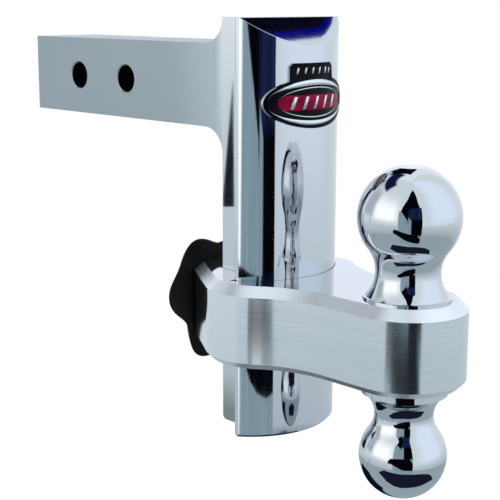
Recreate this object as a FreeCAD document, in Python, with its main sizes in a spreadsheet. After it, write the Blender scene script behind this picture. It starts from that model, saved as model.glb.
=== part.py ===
"""Adjustable trailer hitch with two tow balls, as a parametric FreeCAD document.

A square shank carries an upright post with a T section.  A ball mount slides up and down on the
post and is held by a pin that a hand knob drives into one of the post's lock holes.

Frame, in millimetres: +X towards the trailer, +Z up, Y across.  The origin is the centre of the
outer hitch-pin bore.
"""

import FreeCAD
import Part

import math
import os

import Sketcher

# Driving dimensions.  Heights of the post and mount are given from the shank's axis.
SIZES = {
    # Shank
    "shank_width": 50.8,
    "pin_bore_radius": 8.75,
    "pin_bore_chamfer": 0.75,
    "pin_pitch": 50.8,
    "pin_end_distance": 49.4,
    "shank_reach": 93.6,
    "root_radius": 15.8,
    "shank_edge": 1.2,
    # Post
    "post_drop": 210.8,
    "web_depth": 27.5,
    "toe_radius": 3.0,
    "bow_radius": 53.0,
    "bow_setback": 0.6,
    "bow_corner": 2.5,
    "bow_foot_chamfer": 1.6,
    "bevel_start": 32.0,
    "bevel_drop": 16.0,
    # Lock holes in the post
    "lock_pitch": 25.4,
    "lock_count": 5,
    "lock_hole_radius": 8.4,
    "lock_hole_depth": 13.5,
    "lock_hole_tip": 3.0,
    "lock_hole_flare": 1.2,
    # Ball mount
    "mount_top": 112.5,
    "mount_bottom": 162.3,
    "mount_top_chamfer": 5.8,
    "mount_bottom_chamfer": 3.8,
    "mount_rear": 28.5,
    "facet_angle": 33.2,
    "cheek_radius": 35.2,
    "cheek_x": 30.5,
    "cheek_y": 20.4,
    "waist_radius": 65.6,
    "boss_radius": 34.7,
    "boss_reach": 125.1,
    "slide_gap": 0.35,
    "fit_gap": 0.05,
    "seat_spare": 0.1,
    "blind_spare": 0.5,
    # Tow balls
    "upper_ball_radius": 29.37,
    "upper_ball_height": 45.8,
    "upper_ball_flat": 8.5,
    "upper_neck_radius": 18.5,
    "upper_neck_height": 14.9,
    "upper_flange_radius": 25.5,
    "flange_rim": 1.2,
    "lower_ball_radius": 25.4,
    "lower_ball_drop": 44.15,
    "lower_neck_radius": 17.0,
    "lower_neck_drop": 19.2,
    "lower_flange_radius": 25.0,
    "lower_flange_rim": 5.6,
    "stud_radius": 12.7,
    "stud_thread_radius": 9.5,
    "stud_thread_reach": 33.0,
    "stud_step": 1.0,
    "stud_hole_spare": 3.0,
    "washer_radius": 15.0,
    "washer_recess": 15.6,
    "washer_height": 3.2,
    "washer_split": 2.0,
    "roll_pin_radius": 2.5,
    "roll_pin_bore": 1.4,
    "roll_pin_offset": 18.6,
    "roll_pin_reach": 6.0,
    # Height lock: stations along its axis count from the mount's rear face
    "lock_axis_drop": 137.4,
    "housing_flange_radius": 19.0,
    "housing_flange": 4.5,
    "housing_radius": 10.6,
    "housing_reach": 17.5,
    "housing_cavity_radius": 8.6,
    "collar_recess_radius": 10.0,
    "collar_seat": 1.0,
    "ring_groove_radius": 11.0,
    "ring_groove_start": 4.1,
    "ring_groove_width": 1.0,
    "ring_hole_radius": 7.2,
    "ring_split": 5.0,
    "screw_circle_radius": 14.9,
    "screw_radius": 1.6,
    "screw_head_radius": 2.8,
    "screw_head_depth": 1.7,
    "screw_socket_depth": 1.0,
    "screw_reach": 9.0,
    "collar_radius": 9.9,
    "collar_width": 1.9,
    "drive_radius": 5.0,
    "drive_reach": 19.5,
    "drive_chamfer": 0.8,
    "neck_radius": 6.5,
    "neck_reach": 15.0,
    "pin_radius": 8.0,
    "pin_tail": 2.2,
    "pin_nose": 27.6,
    "pin_nose_chamfer": 2.0,
    "pin_thread_depth": 19.8,
    "pin_thread_tip": 1.0,
    "pin_travel": 12.0,
    "guide_station": 22.8,
    "guide_radius": 2.5,
    "guide_dog_radius": 1.5,
    "guide_start": 20.0,
    "guide_shoulder": 8.7,
    "guide_tip": 6.1,
    "guide_socket_width": 2.5,
    "guide_socket_depth": 4.0,
    "keyway_width": 3.2,
    "keyway_floor": 5.8,
    "keyway_slack": 0.3,
    # Knob
    "knob_gap": 0.8,
    "knob_back": 18.8,
    "knob_mean_radius": 40.3,
    "knob_lobe_wave": 3.7,
    "knob_lobe_flat": 3.1,
    "knob_lobes": 3,
    "knob_edge": 1.0,
    "knob_taper": 17.5,
    "knob_dome": 0.25,
    "knob_recess_radius": 20.2,
    "knob_recess_depth": 6.0,
    "insert_width": 24.0,
    "insert_reach": 16.0,
    "cross_pin_radius": 2.0,
    "cross_pin_length": 22.0,
    "cross_pin_station": 11.0,
    "cross_slot_spare": 2.0,
    # Key lock in one lobe
    "key_circle_radius": 26.0,
    "key_boss_radius": 9.5,
    "shell_radius": 7.0,
    "shell_sink": 0.2,
    "plug_radius": 5.0,
    "tongue_sweep": 10.4,
    "tongue_reach": 9.9,
    "tongue_width": 5.0,
    "tongue_start": 4.0,
    "tongue_end": 1.8,
    "wafer_count": 5,
    "wafer_pitch": 1.9,
    "wafer_first": 9.6,
    "wafer_thickness": 0.6,
    "wafer_width": 3.0,
    "wafer_height": 8.0,
    "key_slot_width": 1.6,
    "key_slot_height": 6.0,
    "key_window_height": 5.0,
    "key_slot_depth": 12.0,
    # Dust cover
    "cover_gap": 0.2,
    "cover_thickness": 1.8,
    "cover_radius": 8.6,
    "cover_eye_radius": 4.2,
    "cover_pivot_offset": 11.8,
    "rivet_radius": 1.6,
    "rivet_head_radius": 3.2,
    "rivet_head_height": 1.0,
    "rivet_head_chamfer": 0.4,
    "rivet_reach": 5.0,
    # Badge
    "badge_drop": 7.5,
    "badge_half_width": 33.3,
    "badge_half_height": 15.3,
    "badge_tab_left": 19.5,
    "badge_tab_right": 17.4,
    "badge_tab_lean": 2.6,
    "badge_tab_top": 22.9,
    "badge_tab_corner": 2.1,
    "badge_rim_width": 1.8,
    "badge_thickness": 1.4,
    "badge_field_step": 0.5,
    "badge_bar_half_width": 21.0,
    "badge_bar_half_height": 4.4,
}

# Places that several pieces share, worked out from the driving dimensions.
POST_X = "(Sizes.pin_pitch + Sizes.shank_reach)"
SHOULDER_X = f"({POST_X} + Sizes.web_depth)"
BOW_X = f"({POST_X} - Sizes.bow_setback)"
BOW_FRONT_X = f"({BOW_X} + Sizes.bow_radius)"
POST_TOP = "(Sizes.shank_width / 2 + Sizes.root_radius)"
BALL_X = f"({POST_X} + Sizes.boss_reach)"
REAR_X = f"({POST_X} - Sizes.mount_rear)"
MOUNT_HEIGHT = "(Sizes.mount_bottom - Sizes.mount_top)"

KEY_ANGLE = 60.0          # direction of the key lock's lobe, from +Z towards +Y, in degrees
HOUSING_SCREW_ANGLES = (30.0, 150.0, 270.0)
FAR = 400.0               # longer than anything here, for cuts that go right through
PAST = 5.0                # how far a cut starts outside the face that it opens
CLOSE = 0.01              # lengths and volumes that differ by less count as equal
KNOB_POINTS_PER_LOBE = 12
KNOB_SECTIONS = 4

doc = FreeCAD.newDocument("trailer_hitch")
sheet = doc.addObject("Spreadsheet::Sheet", "Sizes")


# ---------------------------------------------------------------- sheet and sketch helpers

def fill_sheet():
    """One row per driving dimension: its name, its value and its alias."""
    for row, (name, number) in enumerate(SIZES.items(), start=1):
        sheet.set(f"A{row}", name)
        sheet.set(f"B{row}", str(number))
        sheet.setAlias(f"B{row}", name)
    doc.recompute()


def number(expression):
    """The present value of an expression on the sheet's cells."""
    return float(sheet.evalExpression(str(expression)))


def new_body(name, x="0", y="0", z="0"):
    """A body whose label names its file and whose place follows the sheet."""
    body = doc.addObject("PartDesign::Body", name)
    body.Label = name
    for axis, place in zip("xyz", (x, y, z)):
        body.setExpression(f".Placement.Base.{axis}", place)
    return body


def origin_feature(body, role):
    """The body's own base plane or axis with this role, such as XY_Plane or X_Axis."""
    for feature in body.Origin.OriginFeatures:
        if feature.Role == role:
            return feature
    raise ValueError(role)


def new_sketch(body, name, plane, offset="0"):
    """A sketch on one of the body's own planes, moved along the plane's normal."""
    sketch = body.newObject("Sketcher::SketchObject", name)
    sketch.AttachmentSupport = [(origin_feature(body, plane), "")]
    sketch.MapMode = "FlatFace"
    sketch.setExpression(".AttachmentOffset.Base.z", offset)
    return sketch


def bind(sketch, constraint, expression):
    """Adds a dimension and ties it to the sheet."""
    index = sketch.addConstraint(constraint)
    sketch.setExpression(f"Constraints[{index}]", expression)


def place_point(sketch, geometry, point, x, y):
    """Fixes one point of a sketch at (x, y)."""
    bind(sketch, Sketcher.Constraint("DistanceX", geometry, point, number(x)), x)
    bind(sketch, Sketcher.Constraint("DistanceY", geometry, point, number(y)), y)


def arc_between(start, end, radius, turn):
    """The minor arc from start to end; turn is 1 anticlockwise, -1 clockwise."""
    middle = (start + end) * 0.5
    chord = end - start
    left = FreeCAD.Vector(-chord.y, chord.x, 0).normalize()
    rise = math.sqrt(max(radius ** 2 - (chord.Length / 2) ** 2, 0.0))
    centre = middle + left * (rise * turn)
    first, last = (start, end) if turn > 0 else (end, start)
    angle_first = math.atan2(first.y - centre.y, first.x - centre.x)
    angle_last = math.atan2(last.y - centre.y, last.x - centre.x)
    circle = Part.Circle(centre, FreeCAD.Vector(0, 0, 1), radius)
    return Part.ArcOfCircle(circle, angle_first, angle_last)


def draw_outline(sketch, corners):
    """A closed outline through corners (x, y), or (x, y, radius, turn) where an arc leaves."""
    points = [FreeCAD.Vector(number(c[0]), number(c[1]), 0) for c in corners]
    ends = []
    for index, corner in enumerate(corners):
        start = points[index]
        end = points[(index + 1) % len(points)]
        if len(corner) == 2:
            geometry = sketch.addGeometry(Part.LineSegment(start, end))
            ends.append((geometry, 1, 2))
        else:
            radius, turn = corner[2], corner[3]
            geometry = sketch.addGeometry(arc_between(start, end, number(radius), turn))
            bind(sketch, Sketcher.Constraint("Radius", geometry, number(radius)), radius)
            ends.append((geometry, 1, 2) if turn > 0 else (geometry, 2, 1))
    for index, corner in enumerate(corners):
        geometry, start_point, _ = ends[index]
        before, _, end_point = ends[index - 1]
        sketch.addConstraint(
            Sketcher.Constraint("Coincident", before, end_point, geometry, start_point))
        place_point(sketch, geometry, start_point, corner[0], corner[1])


def draw_rectangle(sketch, x_low, y_low, x_high, y_high):
    """An upright rectangle between two opposite corners."""
    draw_outline(sketch, [(x_low, y_low), (x_high, y_low), (x_high, y_high), (x_low, y_high)])


def draw_circle(sketch, x, y, radius):
    """A circle about (x, y)."""
    centre = FreeCAD.Vector(number(x), number(y), 0)
    circle = Part.Circle(centre, FreeCAD.Vector(0, 0, 1), number(radius))
    geometry = sketch.addGeometry(circle)
    bind(sketch, Sketcher.Constraint("Radius", geometry, number(radius)), radius)
    place_point(sketch, geometry, 3, x, y)


# ---------------------------------------------------------------- feature helpers

def extrude(kind, body, sketch, length, symmetric=False, backwards=False):
    """A Pad or Pocket of a sketch by a length from the sheet."""
    feature = body.newObject(f"PartDesign::{kind}", f"{sketch.Name}_{kind.lower()}")
    feature.Profile = sketch
    feature.setExpression("Length", str(length))
    if symmetric:
        feature.SideType = "Symmetric"
    feature.Reversed = backwards
    return feature


def pad(body, sketch, length, **options):
    """Adds the sketch's extrusion to the body."""
    return extrude("Pad", body, sketch, length, **options)


def pocket(body, sketch, length, **options):
    """Cuts the sketch's extrusion from the body and makes sure that it removes something."""
    doc.recompute()
    before = body.Shape.Volume
    feature = extrude("Pocket", body, sketch, length, **options)
    doc.recompute()
    check_cut(body, feature, before)
    return feature


def check_cut(body, feature, volume_before):
    """Stops the build when a cut has missed the solid."""
    if body.Shape.Volume > volume_before - CLOSE:
        raise RuntimeError(f"{feature.Name} removes nothing from {body.Name}")


def turn(kind, body, sketch, axis):
    """A Revolution or Groove about one of the sketch's axes, H_Axis or V_Axis."""
    feature = body.newObject(f"PartDesign::{kind}", f"{sketch.Name}_{kind.lower()}")
    feature.Profile = sketch
    feature.ReferenceAxis = (sketch, [axis])
    feature.Angle = 360.0
    return feature


def groove(body, sketch, axis):
    """A turned cut, checked like a pocket."""
    doc.recompute()
    before = body.Shape.Volume
    feature = turn("Groove", body, sketch, axis)
    doc.recompute()
    check_cut(body, feature, before)
    return feature


def repeat(body, feature, axis, pitch, count, backwards=False):
    """An even row of a feature along one of the body's axes."""
    row = body.newObject("PartDesign::LinearPattern", f"{feature.Name}_row")
    row.Originals = [feature]
    row.Direction = (origin_feature(body, axis), [""])
    row.Reversed = backwards
    row.setExpression("Length", f"{pitch} * ({count} - 1)")
    row.setExpression("Occurrences", count)
    body.Tip = row


def edges_where(shape, test):
    """Names of the edges that pass a test."""
    return [f"Edge{i}" for i, edge in enumerate(shape.Edges, start=1) if test(edge)]


def dress(kind, body, expression, test):
    """A Chamfer or Fillet on every edge of the body that passes the test."""
    doc.recompute()
    base = body.Tip
    names = edges_where(base.Shape, test)
    if not names:
        raise RuntimeError(f"no edge for a {kind} on {body.Name}")
    feature = body.newObject(f"PartDesign::{kind}", f"{base.Name}_{kind.lower()}")
    feature.Base = (base, names)
    feature.setExpression("Size" if kind == "Chamfer" else "Radius", expression)
    doc.recompute()
    return feature


def is_level_at(edge, height):
    """True for an edge that lies flat at this height."""
    box = edge.BoundBox
    return abs(box.ZMin - height) < CLOSE and abs(box.ZMax - height) < CLOSE


def turned(name, corners, x="0", y="0", z="0", about_x=False):
    """A body of revolution about its own Z axis, or about its own X axis."""
    body = new_body(name, x, y, z)
    sketch = new_sketch(body, f"{name}_profile", "XZ_Plane")
    draw_outline(sketch, corners)
    turn("Revolution", body, sketch, "H_Axis" if about_x else "V_Axis")
    return body


def lock_frame():
    """Place of the height lock's axis where it leaves the mount's rear face."""
    return {"x": REAR_X, "z": "-Sizes.lock_axis_drop"}


def around_lock(radius, degrees_from_up):
    """(y, z) expressions on a circle about the lock's axis; the angle turns from +Z to +Y."""
    y = f"({radius}) * sin({degrees_from_up} * 1 deg)"
    z = f"({radius}) * cos({degrees_from_up} * 1 deg)"
    return y, z


# ---------------------------------------------------------------- drawbar and badge

def make_drawbar():
    """Shank, web and bowed post in one forging."""
    body = new_body("drawbar")
    half = "Sizes.shank_width / 2"
    root = "Sizes.root_radius"
    toe = "Sizes.toe_radius"
    side = new_sketch(body, "side_profile", "XZ_Plane")
    draw_outline(side, [
        ("-Sizes.pin_end_distance", f"-{half}"),
        (f"{POST_X} - {root}", f"-{half}", root, -1),
        (POST_X, f"-{half} - {root}"),
        (POST_X, f"-Sizes.post_drop + {toe}", toe, 1),
        (f"{POST_X} + {toe}", "-Sizes.post_drop"),
        (SHOULDER_X, "-Sizes.post_drop"),
        (SHOULDER_X, POST_TOP),
        (POST_X, POST_TOP, root, -1),
        (f"{POST_X} - {root}", half),
        ("-Sizes.pin_end_distance", half),
    ])
    pad(body, side, "Sizes.shank_width", symmetric=True)
    dress("Chamfer", body, "Sizes.shank_edge", is_shank_end_edge)

    plan = new_sketch(body, "bow_plan", "XY_Plane", "-Sizes.post_drop")
    draw_outline(plan, bow_outline())
    pad(body, plan, f"Sizes.post_drop + {POST_TOP}")
    dress("Chamfer", body, "Sizes.bow_foot_chamfer", is_bow_foot_edge)

    bevel = new_sketch(body, "top_bevel", "XZ_Plane")
    slope = f"Sizes.bevel_drop / ({BOW_FRONT_X} - {POST_X} - Sizes.bevel_start)"
    outside = f"({BOW_FRONT_X} + {PAST})"
    draw_outline(bevel, [
        (f"{POST_X} + Sizes.bevel_start", POST_TOP),
        (outside, f"{POST_TOP} - {slope} * ({outside} - {POST_X} - Sizes.bevel_start)"),
        (outside, POST_TOP),
    ])
    pocket(body, bevel, FAR, symmetric=True)

    bores = new_sketch(body, "pin_bores", "XZ_Plane")
    draw_circle(bores, "0", "0", "Sizes.pin_bore_radius")
    draw_circle(bores, "Sizes.pin_pitch", "0", "Sizes.pin_bore_radius")
    pocket(body, bores, FAR, symmetric=True)
    dress("Chamfer", body, "Sizes.pin_bore_chamfer", is_pin_bore_edge)
    cut_lock_holes(body)
    return body


def is_shank_end_edge(edge):
    """The four edges round the shank's free end."""
    box = edge.BoundBox
    end = -number("Sizes.pin_end_distance")
    return abs(box.XMin - end) < CLOSE and abs(box.XMax - end) < CLOSE


def is_bow_foot_edge(edge):
    """The edges round the bow's lower end."""
    return (is_level_at(edge, -number("Sizes.post_drop"))
            and edge.BoundBox.XMax > number(SHOULDER_X) + CLOSE)


def is_pin_bore_edge(edge):
    """The four mouths of the two hitch-pin bores."""
    radius = getattr(edge.Curve, "Radius", 0.0)
    return edge.Closed and abs(radius - number("Sizes.pin_bore_radius")) < CLOSE


def bow_outline():
    """Plan of the post's bowed front: a circle's segment with its two rear corners rounded."""
    corner = "Sizes.bow_corner"
    inner = f"(Sizes.bow_radius - {corner})"
    across = f"(Sizes.web_depth + Sizes.bow_setback + {corner})"
    corner_y = f"sqrt({inner}^2 - {across}^2)"
    touch_x = f"{BOW_X} + {across} * Sizes.bow_radius / {inner}"
    touch_y = f"{corner_y} * Sizes.bow_radius / {inner}"
    return [
        (SHOULDER_X, corner_y),
        (SHOULDER_X, f"-{corner_y}", corner, 1),
        (touch_x, f"-{touch_y}", "Sizes.bow_radius", 1),
        (touch_x, touch_y, corner, 1),
    ]


def cut_lock_holes(body):
    """Blind holes with a drill point and a flared mouth, in a row down the web's rear face."""
    radius = "Sizes.lock_hole_radius"
    flare = "Sizes.lock_hole_flare"
    lowest = "(-Sizes.lock_axis_drop - Sizes.lock_pitch * (Sizes.lock_count - 1) / 2)"
    profile = new_sketch(body, "lock_hole_profile", "XZ_Plane")
    draw_outline(profile, [
        (POST_X, lowest),
        (f"{POST_X} + Sizes.lock_hole_depth + Sizes.lock_hole_tip", lowest),
        (f"{POST_X} + Sizes.lock_hole_depth", f"{lowest} + {radius}"),
        (f"{POST_X} + {flare}", f"{lowest} + {radius}"),
        (POST_X, f"{lowest} + {radius} + {flare}"),
    ])
    axis = profile.addGeometry(Part.LineSegment(
        FreeCAD.Vector(0, number(lowest), 0), FreeCAD.Vector(PAST, number(lowest), 0)), True)
    place_point(profile, axis, 1, "0", lowest)
    place_point(profile, axis, 2, str(PAST), lowest)
    hole = groove(body, profile, "Axis0")
    repeat(body, hole, "Z_Axis", "Sizes.lock_pitch", "Sizes.lock_count")


def badge_plate(name, inset, inner, outer):
    """A plate in the badge's outline, an oval with a tab on top, bent to the bow."""
    body = new_body(name, BOW_X, "0", "-Sizes.badge_drop")
    oval = new_sketch(body, f"{name}_oval", "YZ_Plane")
    draw_oval(oval, inset)
    pad(body, oval, f"{outer} + {PAST}")
    tab = new_sketch(body, f"{name}_tab", "YZ_Plane")
    draw_tab(tab, inset)
    pad(body, tab, f"{outer} + {PAST}")
    keep_between_radii(body, inner, outer)
    return body


def keep_between_radii(body, inner, outer):
    """Trims a plate on the bow to the shell between two upright cylinders."""
    reach = f"(Sizes.badge_tab_top + {PAST})"
    core = new_sketch(body, f"{body.Name}_core", "XZ_Plane")
    draw_rectangle(core, "0", f"-{reach}", inner, reach)
    groove(body, core, "V_Axis")
    skin = new_sketch(body, f"{body.Name}_skin", "XZ_Plane")
    draw_rectangle(skin, outer, f"-{reach}", f"{outer} + {FAR}", reach)
    groove(body, skin, "V_Axis")


def draw_oval(sketch, inset):
    """The badge's ellipse about the sketch's origin, drawn in by an inset."""
    half_width = f"(Sizes.badge_half_width - {inset})"
    half_height = f"(Sizes.badge_half_height - {inset})"
    ellipse = Part.Ellipse(FreeCAD.Vector(0, 0, 0), number(half_width), number(half_height))
    geometry = sketch.addGeometry(ellipse)
    sketch.exposeInternalGeometry(geometry)
    place_point(sketch, geometry, 3, "0", "0")
    bind(sketch, Sketcher.Constraint("DistanceX", geometry + 1, 1, geometry + 1, 2,
                                     2 * number(half_width)), f"2 * {half_width}")
    bind(sketch, Sketcher.Constraint("DistanceY", geometry + 2, 1, geometry + 2, 2,
                                     2 * number(half_height)), f"2 * {half_height}")


def draw_tab(sketch, inset):
    """The badge's tab, from the oval's long axis up, drawn in by an inset."""
    corner = "Sizes.badge_tab_corner"
    left = f"(-Sizes.badge_tab_left + {inset})"
    right = f"(Sizes.badge_tab_right - {inset})"
    right_top = f"({right} - Sizes.badge_tab_lean)"
    top = f"(Sizes.badge_tab_top - {inset})"
    draw_outline(sketch, [
        (left, "0"),
        (right, "0"),
        (right_top, f"{top} - {corner}"),
        (f"{right_top} - {corner}", top),
        (f"{left} + {corner}", top),
        (left, f"{top} - {corner}"),
    ])


def make_badge():
    """A plain badge on the bow: a raised rim, a field inside it and a bar across the field."""
    gap = "Sizes.fit_gap"
    seat = f"(Sizes.bow_radius + {gap})"
    face = f"({seat} + Sizes.badge_thickness)"
    sunk = f"({face} - Sizes.badge_field_step)"
    rim = badge_plate("badge_rim", "0", seat, face)
    oval_window = new_sketch(rim, "badge_rim_oval_window", "YZ_Plane")
    draw_oval(oval_window, "Sizes.badge_rim_width")
    pocket(rim, oval_window, FAR, symmetric=True)
    tab_window = new_sketch(rim, "badge_rim_tab_window", "YZ_Plane")
    draw_tab(tab_window, "Sizes.badge_rim_width")
    pocket(rim, tab_window, FAR, symmetric=True)
    field = badge_plate("badge_field", f"(Sizes.badge_rim_width + {gap})", seat, sunk)
    return [rim, field, make_badge_bar(f"({sunk} + {gap})", face)]


def make_badge_bar(inner, outer):
    """The bar, with two round ends."""
    body = new_body("badge_bar", BOW_X, "0", "-Sizes.badge_drop")
    strip = new_sketch(body, "badge_bar_strip", "YZ_Plane")
    end = "Sizes.badge_bar_half_width"
    high = "Sizes.badge_bar_half_height"
    draw_outline(strip, [
        (f"-{end}", f"-{high}"),
        (end, f"-{high}", high, 1),
        (f"{end} + {high}", "0", high, 1),
        (end, high),
        (f"-{end}", high, high, 1),
        (f"-{end} - {high}", "0", high, 1),
    ])
    pad(body, strip, f"{outer} + {PAST}")
    keep_between_radii(body, inner, outer)
    return body


# ---------------------------------------------------------------- ball mount and balls

def mount_outline():
    """Plan of the mount: flat rear, two facets, rounded cheeks, a waist and the ball boss."""
    facet_sin = "sin(Sizes.facet_angle * 1 deg)"
    facet_cos = "cos(Sizes.facet_angle * 1 deg)"
    cheek_x = f"({POST_X} + Sizes.cheek_x)"
    facet_end_x = f"({cheek_x} - Sizes.cheek_radius * {facet_sin})"
    facet_end_y = f"(Sizes.cheek_y + Sizes.cheek_radius * {facet_cos})"
    slope = "tan(Sizes.facet_angle * 1 deg)"
    rear_y = f"({facet_end_y} - ({facet_end_x} - {REAR_X}) * {slope})"
    centres = "(Sizes.cheek_radius + Sizes.waist_radius)"
    waist_y = "(Sizes.boss_radius + Sizes.waist_radius)"
    waist_run = f"sqrt({centres}^2 - ({waist_y} - Sizes.cheek_y)^2)"
    share = f"(Sizes.cheek_radius / {centres})"
    cheek_end_x = f"({cheek_x} + {waist_run} * {share})"
    cheek_end_y = f"(Sizes.cheek_y + ({waist_y} - Sizes.cheek_y) * {share})"
    waist_x = f"({cheek_x} + {waist_run})"
    return [
        (REAR_X, f"-{rear_y}"),
        (facet_end_x, f"-{facet_end_y}", "Sizes.cheek_radius", 1),
        (cheek_end_x, f"-{cheek_end_y}", "Sizes.waist_radius", -1),
        (waist_x, "-Sizes.boss_radius"),
        (BALL_X, "-Sizes.boss_radius", "Sizes.boss_radius", 1),
        (f"{BALL_X} + Sizes.boss_radius", "0", "Sizes.boss_radius", 1),
        (BALL_X, "Sizes.boss_radius"),
        (waist_x, "Sizes.boss_radius", "Sizes.waist_radius", -1),
        (cheek_end_x, cheek_end_y, "Sizes.cheek_radius", 1),
        (facet_end_x, facet_end_y),
        (REAR_X, rear_y),
    ]


def make_ball_mount():
    """The forging that slides on the post, with its T window, ball boss and lock bore."""
    body = new_body("ball_mount")
    plan = new_sketch(body, "mount_plan", "XY_Plane", "-Sizes.mount_bottom")
    draw_outline(plan, mount_outline())
    pad(body, plan, MOUNT_HEIGHT)
    top = -number("Sizes.mount_top")
    bottom = -number("Sizes.mount_bottom")
    dress("Chamfer", body, "Sizes.mount_top_chamfer", lambda e: is_level_at(e, top))
    dress("Chamfer", body, "Sizes.mount_bottom_chamfer", lambda e: is_level_at(e, bottom))

    window = new_sketch(body, "post_window", "XY_Plane", "-Sizes.mount_bottom")
    draw_outline(window, window_outline())
    pocket(body, window, FAR, backwards=True)

    boss = new_sketch(body, "stud_bore", "XY_Plane", "-Sizes.mount_bottom")
    draw_circle(boss, BALL_X, "0", "Sizes.stud_radius + Sizes.fit_gap")
    pocket(body, boss, FAR, backwards=True)
    dowel = new_sketch(body, "roll_pin_hole", "XY_Plane", "-Sizes.mount_top")
    draw_circle(dowel, f"{BALL_X} - Sizes.roll_pin_offset", "0",
                "Sizes.roll_pin_radius + Sizes.fit_gap")
    pocket(body, dowel, "Sizes.roll_pin_reach + Sizes.blind_spare")
    cut_lock_bore(body)
    return body


def window_outline():
    """The post's T section grown by the sliding gap."""
    gap = "Sizes.slide_gap"
    slot = f"(Sizes.shank_width / 2 + {gap})"
    bow = f"(Sizes.bow_radius + {gap})"
    shoulder = f"({SHOULDER_X} - {gap})"
    bow_y = f"sqrt({bow}^2 - (Sizes.web_depth + Sizes.bow_setback - {gap})^2)"
    return [
        (f"{POST_X} - {gap}", f"-{slot}"),
        (shoulder, f"-{slot}"),
        (shoulder, f"-{bow_y}", bow, 1),
        (shoulder, bow_y),
        (shoulder, slot),
        (f"{POST_X} - {gap}", slot),
    ]


def cut_lock_bore(body):
    """Stepped bore through the rear wall, screw holes round it and the guide screw's hole."""
    axis_z = "-Sizes.lock_axis_drop"
    sleeve = "(Sizes.housing_radius + Sizes.fit_gap)"
    guide = "(Sizes.pin_radius + Sizes.fit_gap)"
    step = f"({REAR_X} + Sizes.housing_reach + Sizes.fit_gap)"
    bore = new_sketch(body, "housing_bore", "YZ_Plane", REAR_X)
    draw_circle(bore, "0", axis_z, sleeve)
    pocket(body, bore, f"{step} - {REAR_X}", backwards=True)
    through = new_sketch(body, "pin_guide_bore", "YZ_Plane", REAR_X)
    draw_circle(through, "0", axis_z, guide)
    pocket(body, through, "Sizes.mount_rear", backwards=True)
    screws = new_sketch(body, "housing_screw_holes", "YZ_Plane", REAR_X)
    for angle in HOUSING_SCREW_ANGLES:
        y, z = around_lock("Sizes.screw_circle_radius", angle)
        draw_circle(screws, y, f"{axis_z} + {z}", "Sizes.screw_radius + Sizes.fit_gap")
    pocket(body, screws, "Sizes.screw_reach", backwards=True)
    tapped = new_sketch(body, "guide_screw_hole", "XY_Plane", "-Sizes.mount_bottom")
    draw_circle(tapped, f"{REAR_X} + Sizes.guide_station", "0",
                "Sizes.guide_radius + Sizes.fit_gap")
    pocket(body, tapped, "Sizes.mount_bottom - Sizes.lock_axis_drop", backwards=True)


def make_upper_ball():
    """Upper ball with a flat crown, waisted neck, flange and the stud that carries both balls."""
    ball = "Sizes.upper_ball_radius"
    neck = "Sizes.upper_neck_radius"
    drop = "(Sizes.upper_ball_height - Sizes.upper_neck_height)"
    sweep = f"(({drop}^2 + {neck}^2 - {ball}^2) / (2 * ({ball} - {neck})))"
    share = f"({ball} / ({ball} + {sweep}))"
    crown = f"(Sizes.upper_ball_height + sqrt({ball}^2 - Sizes.upper_ball_flat^2))"
    touch_x = f"(({neck} + {sweep}) * {share})"
    touch_z = f"(Sizes.upper_ball_height - {drop} * {share})"
    rim = "Sizes.flange_rim"
    flare = f"({neck} + {sweep} - sqrt({sweep}^2 - (Sizes.upper_neck_height - {rim})^2))"
    thread = "Sizes.stud_thread_radius"
    step = "Sizes.stud_step"
    stud_end = f"(-{MOUNT_HEIGHT} - Sizes.stud_thread_reach)"
    body = turned("upper_ball", [
        ("0", stud_end),
        (f"{thread} - {step}", stud_end),
        (thread, f"{stud_end} + {step}"),
        (thread, f"-{MOUNT_HEIGHT} + {step}"),
        ("Sizes.stud_radius", f"-{MOUNT_HEIGHT} + 2 * {step}"),
        ("Sizes.stud_radius", "0"),
        ("Sizes.upper_flange_radius", "0"),
        ("Sizes.upper_flange_radius", rim),
        (flare, rim, sweep, -1),
        (touch_x, touch_z, ball, 1),
        (ball, "Sizes.upper_ball_height", ball, 1),
        ("Sizes.upper_ball_flat", crown),
        ("0", crown),
    ], x=BALL_X, z="-Sizes.mount_top")
    dowel = new_sketch(body, "flange_dowel_hole", "XY_Plane")
    draw_circle(dowel, "-Sizes.roll_pin_offset", "0", "Sizes.roll_pin_radius + Sizes.fit_gap")
    pocket(body, dowel, "Sizes.roll_pin_reach + Sizes.blind_spare", backwards=True)
    return body


def make_lower_ball():
    """Lower ball with its flange and a blind threaded hole, screwed on the stud from below."""
    ball = "Sizes.lower_ball_radius"
    neck = "Sizes.lower_neck_radius"
    drop = "(Sizes.lower_ball_drop - Sizes.lower_neck_drop)"
    sweep = f"(({drop}^2 + {neck}^2 - {ball}^2) / (2 * ({ball} - {neck})))"
    share = f"({ball} / ({ball} + {sweep}))"
    touch_x = f"(({neck} + {sweep}) * {share})"
    touch_z = f"(-Sizes.lower_ball_drop + {drop} * {share})"
    rim = "Sizes.lower_flange_rim"
    rise = f"(Sizes.lower_neck_drop - {rim})"
    flare = f"({neck} + {sweep} - sqrt({sweep}^2 - {rise}^2))"
    hole = "(Sizes.stud_thread_radius + Sizes.fit_gap)"
    hole_end = "(-Sizes.stud_thread_reach - Sizes.stud_hole_spare)"
    recess = "(-Sizes.washer_height)"
    return turned("lower_ball", [
        ("0", f"-Sizes.lower_ball_drop - {ball}", ball, 1),
        (ball, "-Sizes.lower_ball_drop", ball, 1),
        (touch_x, touch_z, sweep, -1),
        (flare, f"-{rim}"),
        ("Sizes.lower_flange_radius", f"-{rim}"),
        ("Sizes.lower_flange_radius", "0"),
        ("Sizes.washer_recess", "0"),
        ("Sizes.washer_recess", recess),
        (hole, recess),
        (hole, hole_end),
        ("0", hole_end),
    ], x=BALL_X, z="-Sizes.mount_bottom")


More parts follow.
